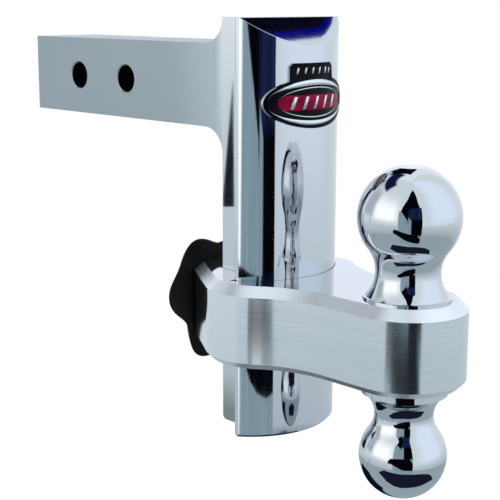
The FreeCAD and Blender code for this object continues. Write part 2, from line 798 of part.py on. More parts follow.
def make_ball_lock_washer():
    """Split washer in the recess of the lower ball's flange."""
    gap = "Sizes.fit_gap"
    hole = f"(Sizes.stud_thread_radius + 4 * {gap})"
    body = turned("ball_lock_washer", [
        (hole, f"-Sizes.washer_height + {gap}"),
        ("Sizes.washer_radius", f"-Sizes.washer_height + {gap}"),
        ("Sizes.washer_radius", f"-{gap}"),
        (hole, f"-{gap}"),
    ], x=BALL_X, z="-Sizes.mount_bottom")
    split = new_sketch(body, "washer_split", "XZ_Plane")
    draw_rectangle(split, "0", "-Sizes.washer_height", f"Sizes.washer_radius + {PAST}", "0")
    pocket(body, split, "Sizes.washer_split", symmetric=True)
    return body


def make_ball_roll_pin():
    """Hollow pin between the upper ball's flange and the mount."""
    reach = "Sizes.roll_pin_reach"
    return turned("ball_roll_pin", [
        ("Sizes.roll_pin_bore", f"-{reach}"),
        ("Sizes.roll_pin_radius", f"-{reach}"),
        ("Sizes.roll_pin_radius", reach),
        ("Sizes.roll_pin_bore", reach),
    ], x=f"{BALL_X} - Sizes.roll_pin_offset", z="-Sizes.mount_top")


# ---------------------------------------------------------------- height lock in the mount

def make_lock_housing():
    """Flanged sleeve with a seat for the drive screw's collar and a groove for its snap ring."""
    cavity = "Sizes.housing_cavity_radius"
    recess = "Sizes.collar_recess_radius"
    groove_out = "-Sizes.ring_groove_start"
    groove_in = "(-Sizes.ring_groove_start + Sizes.ring_groove_width)"
    body = turned("lock_housing", [
        ("-Sizes.housing_flange", recess),
        (groove_out, recess),
        (groove_out, "Sizes.ring_groove_radius"),
        (groove_in, "Sizes.ring_groove_radius"),
        (groove_in, recess),
        ("-Sizes.collar_seat", recess),
        ("-Sizes.collar_seat", cavity),
        ("Sizes.housing_reach", cavity),
        ("Sizes.housing_reach", "Sizes.housing_radius"),
        ("0", "Sizes.housing_radius"),
        ("0", "Sizes.housing_flange_radius"),
        ("-Sizes.housing_flange", "Sizes.housing_flange_radius"),
    ], about_x=True, **lock_frame())
    notches = new_sketch(body, "tongue_notches", "YZ_Plane")
    for angle in (KEY_ANGLE, KEY_ANGLE + 180.0):
        y, z = around_lock("Sizes.key_circle_radius", angle)
        draw_circle(notches, y, z, "Sizes.tongue_sweep")
    pocket(body, notches, f"Sizes.housing_flange + {PAST}")
    holes = new_sketch(body, "flange_holes", "YZ_Plane")
    heads = new_sketch(body, "flange_head_seats", "YZ_Plane", "-Sizes.housing_flange")
    for angle in HOUSING_SCREW_ANGLES:
        y, z = around_lock("Sizes.screw_circle_radius", angle)
        draw_circle(holes, y, z, "Sizes.screw_radius + Sizes.fit_gap")
        draw_circle(heads, y, z, "Sizes.screw_head_radius + Sizes.fit_gap")
    pocket(body, holes, f"Sizes.housing_flange + {PAST}")
    pocket(body, heads, "Sizes.screw_head_depth + Sizes.seat_spare", backwards=True)
    return body


def make_housing_screws():
    """Three socket screws, one node, sunk in the housing's flange."""
    body = new_body("housing_screws", **lock_frame())
    shanks = new_sketch(body, "screw_shanks", "YZ_Plane", "-Sizes.housing_flange")
    heads = new_sketch(body, "screw_heads", "YZ_Plane", "-Sizes.housing_flange")
    sockets = new_sketch(body, "screw_sockets", "YZ_Plane", "-Sizes.housing_flange")
    for angle in HOUSING_SCREW_ANGLES:
        y, z = around_lock("Sizes.screw_circle_radius", angle)
        draw_circle(shanks, y, z, "Sizes.screw_radius")
        draw_circle(heads, y, z, "Sizes.screw_head_radius")
        draw_circle(sockets, y, z, "Sizes.screw_radius / 2")
    pad(body, heads, "Sizes.screw_head_depth")
    pad(body, shanks, "Sizes.housing_flange + Sizes.screw_reach - Sizes.blind_spare")
    pocket(body, sockets, "Sizes.screw_socket_depth", backwards=True)
    return body


def make_snap_ring():
    """Open ring in the housing's groove, behind the drive screw's collar."""
    gap = "Sizes.fit_gap"
    rear = f"(-Sizes.ring_groove_start + {gap})"
    front = f"(-Sizes.ring_groove_start + Sizes.ring_groove_width - {gap})"
    outer = "Sizes.ring_groove_radius - Sizes.seat_spare"
    body = turned("snap_ring", [
        (rear, "Sizes.ring_hole_radius"),
        (front, "Sizes.ring_hole_radius"),
        (front, outer),
        (rear, outer),
    ], about_x=True, **lock_frame())
    split = new_sketch(body, "ring_split_cut", "YZ_Plane")
    half = "Sizes.ring_split / 2"
    draw_rectangle(split, f"-{half}", f"-Sizes.ring_groove_radius - {PAST}", half, "0")
    pocket(body, split, FAR, symmetric=True)
    return body


def make_guide_screw():
    """Dog-point screw from below: its tip rides in the lock pin's keyway."""
    body = turned("guide_screw", [
        ("0", "-Sizes.guide_start"),
        ("Sizes.guide_radius", "-Sizes.guide_start"),
        ("Sizes.guide_radius", "-Sizes.guide_shoulder"),
        ("Sizes.guide_dog_radius", "-Sizes.guide_shoulder"),
        ("Sizes.guide_dog_radius", "-Sizes.guide_tip"),
        ("0", "-Sizes.guide_tip"),
    ], x=f"{REAR_X} + Sizes.guide_station", z="-Sizes.lock_axis_drop")
    socket = new_sketch(body, "guide_screw_socket", "XY_Plane", "-Sizes.guide_start")
    draw_outline(socket, hexagon("(Sizes.guide_socket_width / 2)"))
    pocket(body, socket, "Sizes.guide_socket_depth", backwards=True)
    return body


def hexagon(half_width):
    """Corners of a hexagon from half its width across flats."""
    corner = f"({half_width} / cos(30 deg))"
    return [(f"{corner} * cos({60 * k} * 1 deg)", f"{corner} * sin({60 * k} * 1 deg)")
            for k in range(6)]


def make_lock_pin():
    """Round pin with a threaded bore from its tail and a keyway underneath."""
    body = turned("lock_pin", [
        ("Sizes.pin_tail", "Sizes.drive_radius + Sizes.fit_gap"),
        ("Sizes.pin_tail + Sizes.pin_thread_depth", "Sizes.drive_radius + Sizes.fit_gap"),
        ("Sizes.pin_tail + Sizes.pin_thread_depth + Sizes.pin_thread_tip", "0"),
        ("Sizes.pin_nose", "0"),
        ("Sizes.pin_nose", "Sizes.pin_radius - Sizes.pin_nose_chamfer"),
        ("Sizes.pin_nose - Sizes.pin_nose_chamfer", "Sizes.pin_radius"),
        ("Sizes.pin_tail", "Sizes.pin_radius"),
    ], about_x=True, **lock_frame())
    slack = "(Sizes.guide_dog_radius + Sizes.keyway_slack)"
    half = "Sizes.keyway_width / 2"
    keyway = new_sketch(body, "pin_keyway", "XY_Plane", "-Sizes.keyway_floor")
    draw_rectangle(keyway, f"Sizes.guide_station - Sizes.pin_travel - {slack}", f"-{half}",
                   f"Sizes.guide_station + {slack}", half)
    pocket(body, keyway, "Sizes.pin_radius")
    return body


# ---------------------------------------------------------------- knob and what turns with it

def make_drive_screw():
    """Drive thread, captive collar and the neck that the knob is fixed on."""
    rear = "(-Sizes.collar_seat - Sizes.fit_gap - Sizes.collar_width)"
    body = turned("drive_screw", [
        ("-Sizes.neck_reach", "0"),
        ("Sizes.drive_reach", "0"),
        ("Sizes.drive_reach", "Sizes.drive_radius - Sizes.drive_chamfer"),
        ("Sizes.drive_reach - Sizes.drive_chamfer", "Sizes.drive_radius"),
        ("-Sizes.collar_seat - Sizes.fit_gap", "Sizes.drive_radius"),
        ("-Sizes.collar_seat - Sizes.fit_gap", "Sizes.collar_radius"),
        (rear, "Sizes.collar_radius"),
        (rear, "Sizes.neck_radius"),
        ("-Sizes.neck_reach", "Sizes.neck_radius"),
    ], about_x=True, **lock_frame())
    cut_cross_hole(body)
    return body


def cut_cross_hole(body):
    """Hole for the cross pin, along Y."""
    sketch = new_sketch(body, f"{body.Name}_cross_hole", "XZ_Plane")
    draw_circle(sketch, "-Sizes.cross_pin_station", "0", "Sizes.cross_pin_radius + Sizes.fit_gap")
    pocket(body, sketch, FAR, symmetric=True)


def make_knob_insert():
    """Hexagonal steel insert between the knob and the drive screw's neck."""
    body = new_body("knob_insert", **lock_frame())
    outside = new_sketch(body, "insert_hexagon", "YZ_Plane", "-Sizes.knob_recess_depth")
    draw_outline(outside, hexagon("(Sizes.insert_width / 2)"))
    pad(body, outside, "Sizes.insert_reach - Sizes.knob_recess_depth", backwards=True)
    hole = new_sketch(body, "insert_hole", "YZ_Plane")
    draw_circle(hole, "0", "0", "Sizes.neck_radius + Sizes.fit_gap")
    pocket(body, hole, FAR, symmetric=True)
    cut_cross_hole(body)
    return body


def make_knob_cross_pin():
    """Pin across the insert and the neck."""
    body = new_body("knob_cross_pin", **lock_frame())
    sketch = new_sketch(body, "cross_pin_section", "XZ_Plane")
    draw_circle(sketch, "-Sizes.cross_pin_station", "0", "Sizes.cross_pin_radius")
    pad(body, sketch, "Sizes.cross_pin_length", symmetric=True)
    return body


def lobed_wire(station, inset):
    """Closed curve of three broad flat lobes about the axis, in a plane across X."""
    mean = number("Sizes.knob_mean_radius") - inset
    wave = number("Sizes.knob_lobe_wave")
    flat = number("Sizes.knob_lobe_flat")
    lobes = int(number("Sizes.knob_lobes"))
    samples = KNOB_POINTS_PER_LOBE * lobes
    points = []
    for index in range(samples):
        angle = 2 * math.pi * index / samples
        phase = lobes * (angle - math.radians(KEY_ANGLE))
        radius = mean + wave * math.cos(phase) - flat * math.cos(2 * phase)
        points.append(FreeCAD.Vector(station, radius * math.sin(angle), radius * math.cos(angle)))
    curve = Part.BSplineCurve()
    curve.interpolate(points, PeriodicFlag=True)
    return Part.Wire(curve.toShape())


def knob_blank():
    """Lobed disc with a bevelled front edge and a domed back."""
    front = -number("Sizes.knob_gap")
    edge = number("Sizes.knob_edge")
    back = -number("Sizes.knob_back")
    taper = number("Sizes.knob_taper")
    dome_share = number("Sizes.knob_dome")
    bevel = Part.makeLoft([lobed_wire(front, edge), lobed_wire(front - edge, 0.0)], True, True)
    sections = []
    for index in range(KNOB_SECTIONS):
        share = index / (KNOB_SECTIONS - 1)
        station = front - edge + (back - front + edge) * share
        inset = taper * share * (1.0 - dome_share + dome_share * share)
        sections.append(lobed_wire(station, inset))
    dome = Part.makeLoft(sections, True, False)
    return bevel.fuse(dome)


def lobe_cylinder(radius, start, end):
    """Cylinder along X about the key lock's axis between two stations behind the rear face."""
    reach = number("Sizes.key_circle_radius")
    angle = math.radians(KEY_ANGLE)
    base = FreeCAD.Vector(start, reach * math.sin(angle), reach * math.cos(angle))
    return Part.makeCylinder(radius, end - start, base, FreeCAD.Vector(1, 0, 0))


def make_knob():
    """Moulded three-lobed knob: domed behind, hollow in front, with a key-lock boss."""
    gap = number("Sizes.fit_gap")
    back = -number("Sizes.knob_back")
    recess = -number("Sizes.knob_recess_depth")
    axis = FreeCAD.Vector(1, 0, 0)
    solid = knob_blank().fuse(lobe_cylinder(number("Sizes.key_boss_radius"), back, recess))
    hollow = Part.makeCylinder(number("Sizes.knob_recess_radius"), PAST - recess,
                               FreeCAD.Vector(recess, 0, 0), axis)
    solid = solid.cut(hollow)
    solid = solid.cut(lobe_cylinder(number("Sizes.tongue_sweep"), recess, PAST))
    solid = solid.cut(lobe_cylinder(number("Sizes.shell_radius") + gap, back - PAST, PAST))
    solid = solid.cut(hexagon_prism(number("Sizes.insert_width") / 2 + gap, recess,
                                    -number("Sizes.insert_reach") - gap))
    solid = solid.cut(cross_pin_slot(gap))
    solid = solid.cut(rivet_hole(gap))
    knob = doc.addObject("Part::Feature", "knob")
    knob.Label = "knob"
    knob.Shape = solid.removeSplitter().Solids[0]
    knob.Placement.Base = FreeCAD.Vector(number(REAR_X), 0, -number("Sizes.lock_axis_drop"))
    return knob


def hexagon_prism(half_width, front, back):
    """Hexagonal prism along X, with corners on the Y axis."""
    corner = half_width / math.cos(math.radians(30))
    points = [FreeCAD.Vector(back, corner * math.cos(math.radians(60 * k)),
                             corner * math.sin(math.radians(60 * k))) for k in range(7)]
    return Part.Face(Part.makePolygon(points)).extrude(FreeCAD.Vector(front - back, 0, 0))


def cross_pin_slot(gap):
    """Clearance for the ends of the cross pin inside the knob."""
    radius = number("Sizes.cross_pin_radius") + gap
    station = -number("Sizes.cross_pin_station")
    recess = -number("Sizes.knob_recess_depth")
    half = number("Sizes.insert_width / 2 + Sizes.cross_slot_spare")
    corner = FreeCAD.Vector(station - radius, -half, -radius)
    return Part.makeBox(recess - station + radius, 2 * half, 2 * radius, corner)


def cover_pivot():
    """(y, z) of the dust cover's rivet."""
    reach = number("Sizes.key_circle_radius - Sizes.cover_pivot_offset")
    angle = math.radians(KEY_ANGLE)
    return reach * math.sin(angle), reach * math.cos(angle)


def rivet_hole(gap):
    """Blind hole for the cover's rivet in the knob's back."""
    y, z = cover_pivot()
    back = -number("Sizes.knob_back")
    reach = number("Sizes.rivet_reach")
    return Part.makeCylinder(number("Sizes.rivet_radius") + gap, reach + PAST,
                             FreeCAD.Vector(back - PAST, y, z), FreeCAD.Vector(1, 0, 0))


def key_frame():
    """Place of the key lock's axis in the plane of the mount's rear face."""
    y, z = around_lock("Sizes.key_circle_radius", KEY_ANGLE)
    return {"x": REAR_X, "y": y, "z": f"-Sizes.lock_axis_drop + {z}"}


def make_lock_shell():
    """Shell of the key lock, pressed in the knob's lobe."""
    front = "(-Sizes.knob_recess_depth - Sizes.shell_sink)"
    inner = "Sizes.plug_radius + Sizes.fit_gap"
    return turned("lock_shell", [
        ("-Sizes.knob_back", inner),
        (front, inner),
        (front, "Sizes.shell_radius"),
        ("-Sizes.knob_back", "Sizes.shell_radius"),
    ], about_x=True, **key_frame())


def make_lock_plug():
    """Key plug with its slots, and the tongue that it swings into the housing's notch."""
    rear = "(-Sizes.knob_back + Sizes.shell_sink)"
    body = new_body("lock_plug", **key_frame())
    barrel = new_sketch(body, "plug_barrel", "YZ_Plane", rear)
    draw_circle(barrel, "0", "0", "Sizes.plug_radius")
    pad(body, barrel, f"-{rear} - Sizes.tongue_end")
    lever = new_sketch(body, "plug_tongue", "YZ_Plane", "-Sizes.tongue_start")
    draw_outline(lever, tongue_outline(KEY_ANGLE - 90.0))
    pad(body, lever, "Sizes.tongue_start - Sizes.tongue_end")
    slot = new_sketch(body, "key_slot", "YZ_Plane", rear)
    draw_centred(slot, "Sizes.key_slot_width", "Sizes.key_slot_height")
    pocket(body, slot, "Sizes.key_slot_depth", backwards=True)
    first = new_sketch(body, "wafer_slot", "YZ_Plane", "-Sizes.wafer_first")
    draw_centred(first, "Sizes.wafer_width + Sizes.seat_spare",
                 "Sizes.wafer_height + Sizes.seat_spare")
    cut = pocket(body, first, "Sizes.wafer_thickness + Sizes.seat_spare")
    repeat(body, cut, "X_Axis", "Sizes.wafer_pitch", "Sizes.wafer_count", backwards=True)
    return body


def draw_centred(sketch, width, height):
    """A rectangle centred on the sketch's origin."""
    draw_rectangle(sketch, f"-({width}) / 2", f"-({height}) / 2", f"({width}) / 2",
                   f"({height}) / 2")


def tongue_outline(degrees_from_up):
    """Bar of the tongue, from the plug's axis in the direction given, in (y, z)."""
    along = "Sizes.tongue_reach"
    half = "Sizes.tongue_width / 2"
    sine = f"sin({degrees_from_up} * 1 deg)"
    cosine = f"cos({degrees_from_up} * 1 deg)"
    corners = []
    for run, side in (("0", "-"), (along, "-"), (along, ""), ("0", "")):
        corners.append((f"({run}) * {sine} + ({side}({half})) * {cosine}",
                        f"({run}) * {cosine} - ({side}({half})) * {sine}"))
    return corners


def make_lock_wafers():
    """Wafers in the plug's slots, each with a window for the key."""
    body = new_body("lock_wafers", **key_frame())
    start = "-Sizes.wafer_first - Sizes.seat_spare / 2"
    plate = new_sketch(body, "wafer_plate", "YZ_Plane", start)
    draw_centred(plate, "Sizes.wafer_width", "Sizes.wafer_height")
    draw_centred(plate, "Sizes.key_slot_width", "Sizes.key_window_height")
    first = pad(body, plate, "Sizes.wafer_thickness", backwards=True)
    repeat(body, first, "X_Axis", "Sizes.wafer_pitch", "Sizes.wafer_count", backwards=True)
    return body


def make_dust_cover():
    """Swinging cover over the key lock: a disc joined to the rivet's eye."""
    body = new_body("dust_cover", **key_frame())
    station = "(-Sizes.knob_back - Sizes.cover_gap)"
    eye_y, eye_z = around_lock("-Sizes.cover_pivot_offset", KEY_ANGLE)
    disc = new_sketch(body, "cover_disc", "YZ_Plane", station)
    draw_circle(disc, "0", "0", "Sizes.cover_radius")
    pad(body, disc, "Sizes.cover_thickness", backwards=True)
    arm = new_sketch(body, "cover_arm", "YZ_Plane", station)
    half = "Sizes.cover_eye_radius"
    sine = f"sin({KEY_ANGLE} * 1 deg)"
    cosine = f"cos({KEY_ANGLE} * 1 deg)"
    draw_outline(arm, [
        (f"{half} * {cosine}", f"-{half} * {sine}"),
        (f"-{half} * {cosine}", f"{half} * {sine}"),
        (f"{eye_y} - {half} * {cosine}", f"{eye_z} + {half} * {sine}"),
        (f"{eye_y} + {half} * {cosine}", f"{eye_z} - {half} * {sine}"),
    ])
    pad(body, arm, "Sizes.cover_thickness", backwards=True)
    eye = new_sketch(body, "cover_eye", "YZ_Plane", station)
    draw_circle(eye, eye_y, eye_z, half)
    pad(body, eye, "Sizes.cover_thickness", backwards=True)
    hole = new_sketch(body, "cover_rivet_hole", "YZ_Plane")
    draw_circle(hole, eye_y, eye_z, "Sizes.rivet_radius + Sizes.fit_gap")
    pocket(body, hole, FAR, symmetric=True)
    return body


def make_cover_rivet():
    """Shoulder rivet that the dust cover swings on."""
    y, z = around_lock("(Sizes.key_circle_radius - Sizes.cover_pivot_offset)", KEY_ANGLE)
    outside = "(-Sizes.knob_back - 2 * Sizes.cover_gap - Sizes.cover_thickness)"
    head = f"({outside} - Sizes.rivet_head_height)"
    chamfer = "Sizes.rivet_head_chamfer"
    tip = "(-Sizes.knob_back + Sizes.rivet_reach - Sizes.seat_spare)"
    return turned("cover_rivet", [
        (head, "0"),
        (tip, "0"),
        (tip, "Sizes.rivet_radius"),
        (outside, "Sizes.rivet_radius"),
        (outside, "Sizes.rivet_head_radius"),
        (f"{head} + {chamfer}", "Sizes.rivet_head_radius"),
        (head, f"Sizes.rivet_head_radius - {chamfer}"),
    ], about_x=True, x=REAR_X, y=y, z=f"-Sizes.lock_axis_drop + {z}")


# ---------------------------------------------------------------- build, check and export

def check(nodes):
    """Every object has to be up to date and every node one valid, closed shape."""
    for item in doc.Objects:
        if "Invalid" in item.State or "Error" in item.State:
            raise RuntimeError(f"{item.Name} failed: {item.State}")
    for node in nodes:
        shape = node.Shape
        if shape.isNull() or not shape.isValid() or not shape.Solids:
            raise RuntimeError(f"{node.Label} has no valid solid")
        box = shape.BoundBox
        print(f"{node.Label:18s} solids {len(shape.Solids)} volume {shape.Volume:10.1f} "
              f"x {box.XMin:7.1f} {box.XMax:7.1f} y {box.YMin:6.1f} {box.YMax:6.1f} "
              f"z {box.ZMin:7.1f} {box.ZMax:7.1f}")


def main():
    fill_sheet()
    nodes = [make_drawbar()]
    nodes += make_badge()
    nodes += [make_ball_mount(), make_upper_ball(), make_lower_ball(), make_ball_lock_washer(),
              make_ball_roll_pin(), make_lock_housing(), make_housing_screws(), make_snap_ring(),
              make_guide_screw(), make_lock_pin(), make_drive_screw(), make_knob_insert(),
              make_knob_cross_pin(), make_knob(), make_lock_shell(), make_lock_plug(),
              make_lock_wafers(), make_dust_cover(), make_cover_rivet()]
    doc.recompute()
    check(nodes)
    os.makedirs("parts", exist_ok=True)
    for node in nodes:
        node.Shape.exportStep(f"parts/{node.Label}.step")


main()
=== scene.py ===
"""Looks of the adjustable trailer hitch: metal finishes, badge detail, studio and camera.

All lengths are in metres, in the CAD frame: +X towards the tow balls, +Z up.
"""

import math

import bmesh
import bpy
from mathutils import Matrix, Vector


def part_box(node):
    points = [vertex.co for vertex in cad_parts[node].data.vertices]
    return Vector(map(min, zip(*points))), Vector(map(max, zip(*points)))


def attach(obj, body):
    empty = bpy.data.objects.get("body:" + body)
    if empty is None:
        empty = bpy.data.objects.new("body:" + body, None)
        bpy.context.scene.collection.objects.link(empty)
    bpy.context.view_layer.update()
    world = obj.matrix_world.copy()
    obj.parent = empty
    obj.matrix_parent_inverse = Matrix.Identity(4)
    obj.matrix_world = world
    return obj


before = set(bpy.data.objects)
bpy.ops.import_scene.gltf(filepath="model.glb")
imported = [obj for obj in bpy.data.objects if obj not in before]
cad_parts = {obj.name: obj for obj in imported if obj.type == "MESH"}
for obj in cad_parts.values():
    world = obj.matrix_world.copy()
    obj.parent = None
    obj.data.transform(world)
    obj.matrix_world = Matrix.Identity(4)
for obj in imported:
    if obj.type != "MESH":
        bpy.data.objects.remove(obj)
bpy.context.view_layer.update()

# Places on the CAD model that a finish or a piece starts from
BOW_RADIUS = 0.053
BOW_CENTRE_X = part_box("drawbar")[1].x - BOW_RADIUS
POST_BACK_X = BOW_CENTRE_X + 0.0006
SHOULDER_X = POST_BACK_X + 0.0275
ROOT_START_X = POST_BACK_X - 0.055
WEB_START_X = POST_BACK_X - 0.006
BADGE_Z = -0.0075
BADGE_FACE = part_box("badge_rim")[1].x - BOW_CENTRE_X
BADGE_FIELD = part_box("badge_field")[1].x - BOW_CENTRE_X
BADGE_STRIPE_REACH = 0.0315
BADGE_STRIPE_RISE = 0.0135
BADGE_TAB_MIDDLE = 0.0185
BRUSHING_START_X = POST_BACK_X + 0.042
BALL_X = 0.5 * (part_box("lower_ball")[0].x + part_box("lower_ball")[1].x)
PIN_BORE_RADIUS = 0.00875
PIN_PITCH = 0.0508

# Half-widths over which one finish passes into the next
SHOULDER_BLEND = 0.0003
BRUSHING_BLEND = 0.002

# Radius at which the polished edges catch the light
EDGE_RADIUS = 0.0006

# Camera: where it stands, how it is turned and its lens
CAMERA_PLACE = (0.675368, -0.521400, 0.052480)
CAMERA_AZIMUTH = 45.62
CAMERA_ELEVATION = 11.92
CAMERA_ROLL = 0.16
CAMERA_LENS_MM = 86.16
SENSOR_MM = 36.0

# Studio: the floor, and the cards that only reflections see
STUDIO_X = 0.2
FLOOR_Z = -0.60
FLOOR_RADIUS = 0.95
FLOOR_COLOR = (0.90, 0.92, 0.94)
FLOOR_GLOW = 0.55
GROUND_RADIUS = 0.98
GROUND_Z = FLOOR_Z + 0.03
GROUND_SIDES = 32
SCREEN_LEFT = (0.353, -0.277)
SCREEN_RIGHT = (0.442, -0.112)
ROOF_Y = 0.206
ROOF_BACK_X = -0.35
ROOF_LOW_Z = 0.18
ROOF_HIGH_Z = 0.60
ROOF_SLANT = 0.2
WEB_CARD_Y = -0.3
WEB_FADE_START_Z = -0.305
WEB_FADE_END_Z = -0.345
UNDER_Z = -0.30
RING_STEPS = 5

# Outlines of the cards in the screen's plane: share of the way from left to right, height
SCREEN_OUTLINE = ((-0.10, -0.34), (1.12, -0.34), (1.12, 0.04), (-0.10, 0.04))
SCREEN_TOP_OUTLINE = (
    (0.08, 0.04), (1.06, 0.04), (1.0, 0.10), (0.98, 0.20), (0.92, 0.34), (0.80, 0.46),
    (0.62, 0.34), (0.45, 0.18), (0.16, 0.08))
SCREEN_LOW_OUTLINE = (
    (-0.50, -0.172), (0.95, -0.172), (1.12, -0.215), (1.12, -0.274), (0.86, -0.276),
    (0.50, -0.272), (0.20, -0.264), (0.0, -0.253), (-0.35, -0.245), (-0.75, -0.26),
    (-0.75, -0.20), (-0.50, -0.192))
SCREEN_LOW_OFFSET = Vector((-0.001, 0.0005, 0.0))

# Outlines of the cards beside the web and behind the hitch: x, z
WEB_SHADE_LOW_OUTLINE = ((-0.165, -0.305), (-0.118, -0.305), (-0.118, -0.40), (-0.165, -0.40))
WEB_SHADE_OUTLINE = (
    (-0.1352, -0.020), (-0.1491, -0.132), (-0.1491, -0.1435), (-0.1335, -0.1415))
ROOF_EDGE = (
    (0.104, 0.60), (0.1524, 0.2386), (0.157, 0.2045), (0.1552, 0.1985), (0.1497, 0.191),
    (0.130, 0.180))

# Ring pieces below the balls: compass direction from +X towards +Y, inner and outer radius
UNDER_FRONT_OUTLINE = (
    (246.0, 0.150, 0.155), (262.0, 0.078, 0.205), (279.0, 0.052, 0.186), (304.0, 0.042, 0.168),
    (331.0, 0.044, 0.170), (359.0, 0.052, 0.170), (379.0, 0.066, 0.158), (406.0, 0.104, 0.108))
UNDER_BACK_OUTLINE = (
    (140.0, 0.045, 0.046), (150.0, 0.045, 0.136), (178.0, 0.045, 0.200), (206.0, 0.045, 0.136),
    (215.0, 0.045, 0.046))

# Glow of the cards
SCREEN_TOP_GLOW = (0.001, 0.001, 0.006)
SCREEN_LOW_GLOW = (0.001, 0.001, 0.003)
WEB_GLOW_HIGH = (0.66, 0.74, 0.79)
WEB_GLOW_LOW = (0.30, 0.34, 0.34)
WEB_SHADE_GLOW = (0.010, 0.012, 0.02)
UNDER_FRONT_GLOW = (0.010, 0.013, 0.03)
UNDER_BACK_GLOW = (0.004, 0.006, 0.02)
ROOF_BLUE_GLOW = (0.0, 0.0, 0.24)
ROOF_BLACK_GLOW = (0.002, 0.002, 0.008)
ROOF_BLACK_SHIFT = -0.0075
GROUND_GLOW = (0.40, 0.48, 0.53)


# ---------------------------------------------------------------- node helpers

class Recipe:
    """A node material or world under construction, with short calls for the usual nodes."""

    def __init__(self, holder):
        holder.use_nodes = True
        self.holder = holder
        self.tree = holder.node_tree
        self.tree.nodes.clear()

    def add(self, kind, **settings):
        """A node of one kind; settings are its properties."""
        node = self.tree.nodes.new("ShaderNode" + kind)
        for key, value in settings.items():
            setattr(node, key, value)
        return node

    def join(self, source, target):
        """Links one socket to another."""
        self.tree.links.new(source, target)

    def feed(self, target, value):
        """Gives a socket a link or a constant."""
        if isinstance(value, bpy.types.NodeSocket):
            self.join(value, target)
        else:
            target.default_value = value

    def math(self, operation, first, second=0.0):
        """A sum, product or other operation on two numbers or links."""
        node = self.add("Math", operation=operation)
        self.feed(node.inputs[0], first)
        self.feed(node.inputs[1], second)
        return node.outputs[0]

    def position(self, stretch=(1.0, 1.0, 1.0)):
        """The point in the CAD frame, stretched per axis."""
        place = self.add("TexCoord")
        mapping = self.add("Mapping")
        mapping.inputs["Scale"].default_value = stretch
        self.join(place.outputs["Object"], mapping.inputs["Vector"])
        return mapping.outputs["Vector"]

    def axis(self, name):
        """One coordinate of the point in the CAD frame."""
        split = self.add("SeparateXYZ")
        self.join(self.position(), split.inputs[0])
        return split.outputs[name]

    def facing(self, name):
        """One component of the surface's normal."""
        split = self.add("SeparateXYZ")
        self.join(self.add("NewGeometry").outputs["Normal"], split.inputs[0])
        return split.outputs[name]

    def noise(self, scale, detail=2.0, stretch=(1.0, 1.0, 1.0)):
        """Cloudy noise from 0 to 1; a larger stretch along an axis makes it finer there."""
        node = self.add("TexNoise")
        node.inputs["Scale"].default_value = scale
        node.inputs["Detail"].default_value = detail
        self.join(self.position(stretch), node.inputs["Vector"])
        return node.outputs["Fac"]

    def remap(self, value, low, high, new_low=0.0, new_high=1.0, smooth=False):
        """Maps low..high to new_low..new_high, clamped."""
        node = self.add("MapRange", interpolation_type="SMOOTHSTEP" if smooth else "LINEAR")
        self.feed(node.inputs["Value"], value)
        node.inputs["From Min"].default_value = low
        node.inputs["From Max"].default_value = high
        node.inputs["To Min"].default_value = new_low
        node.inputs["To Max"].default_value = new_high
        return node.outputs["Result"]

    def blend(self, factor, first, second):
        """A colour between two, each a link or an RGB triple."""
        node = self.add("Mix", data_type="RGBA")
        self.feed(node.inputs[0], factor)
        for socket, value in ((node.inputs[6], first), (node.inputs[7], second)):
            self.feed(socket, value if isinstance(value, bpy.types.NodeSocket) else (*value, 1.0))
        return node.outputs[2]

    def mix(self, factor, first, second):
        """A number between two."""
        node = self.add("Mix", data_type="FLOAT")
        self.feed(node.inputs[0], factor)
        self.feed(node.inputs[2], first)
        self.feed(node.inputs[3], second)
        return node.outputs[0]

    def bump(self, height, depth, strength=1.0, under=None):
        """A normal with relief; depth is the height of the relief in metres."""
        node = self.add("Bump")
        self.feed(node.inputs["Strength"], strength)
        node.inputs["Distance"].default_value = depth
        self.join(height, node.inputs["Height"])
        if under is not None:
            self.join(under, node.inputs["Normal"])
        return node.outputs["Normal"]

    def surface(self, color, metallic=0.0, roughness=0.5, normal=None, **others):
        """A Principled shader; others are its further sockets, with _ for a space."""
        node = self.add("BsdfPrincipled")
        if isinstance(color, bpy.types.NodeSocket):
            self.join(color, node.inputs["Base Color"])
        else:
            node.inputs["Base Color"].default_value = (*color, 1.0)
        self.feed(node.inputs["Metallic"], metallic)
        self.feed(node.inputs["Roughness"], roughness)
        if normal is not None:
            self.join(normal, node.inputs["Normal"])
        for name, value in others.items():
            self.feed(node.inputs[name.replace("_", " ")], value)
        return node.outputs[0]

    def shade(self, factor, first, second):
        """A mix of two shaders."""
        node = self.add("MixShader")
        self.feed(node.inputs[0], factor)
        self.join(first, node.inputs[1])
        self.join(second, node.inputs[2])
        return node.outputs[0]

    def done(self, shader):
        """Wires the shader to the output and returns the material."""
        kind = "OutputWorld" if isinstance(self.holder, bpy.types.World) else "OutputMaterial"
        self.join(shader, self.add(kind).inputs["Surface"])
        return self.holder


def new_recipe(name):
    """A recipe for a new material."""
    return Recipe(bpy.data.materials.new(name))


# ---------------------------------------------------------------- materials

def near_axis(r, x, z, radius):
    """1 inside a bore along Y about the point (x, z)."""
    across = r.math("SUBTRACT", r.axis("X"), x)
    up = r.math("SUBTRACT", r.axis("Z"), z)
    reach = r.math("SQRT", r.math("ADD", r.math("MULTIPLY", across, across),
                                  r.math("MULTIPLY", up, up)))
    return r.remap(reach, radius + 0.0002, radius + 0.0001)


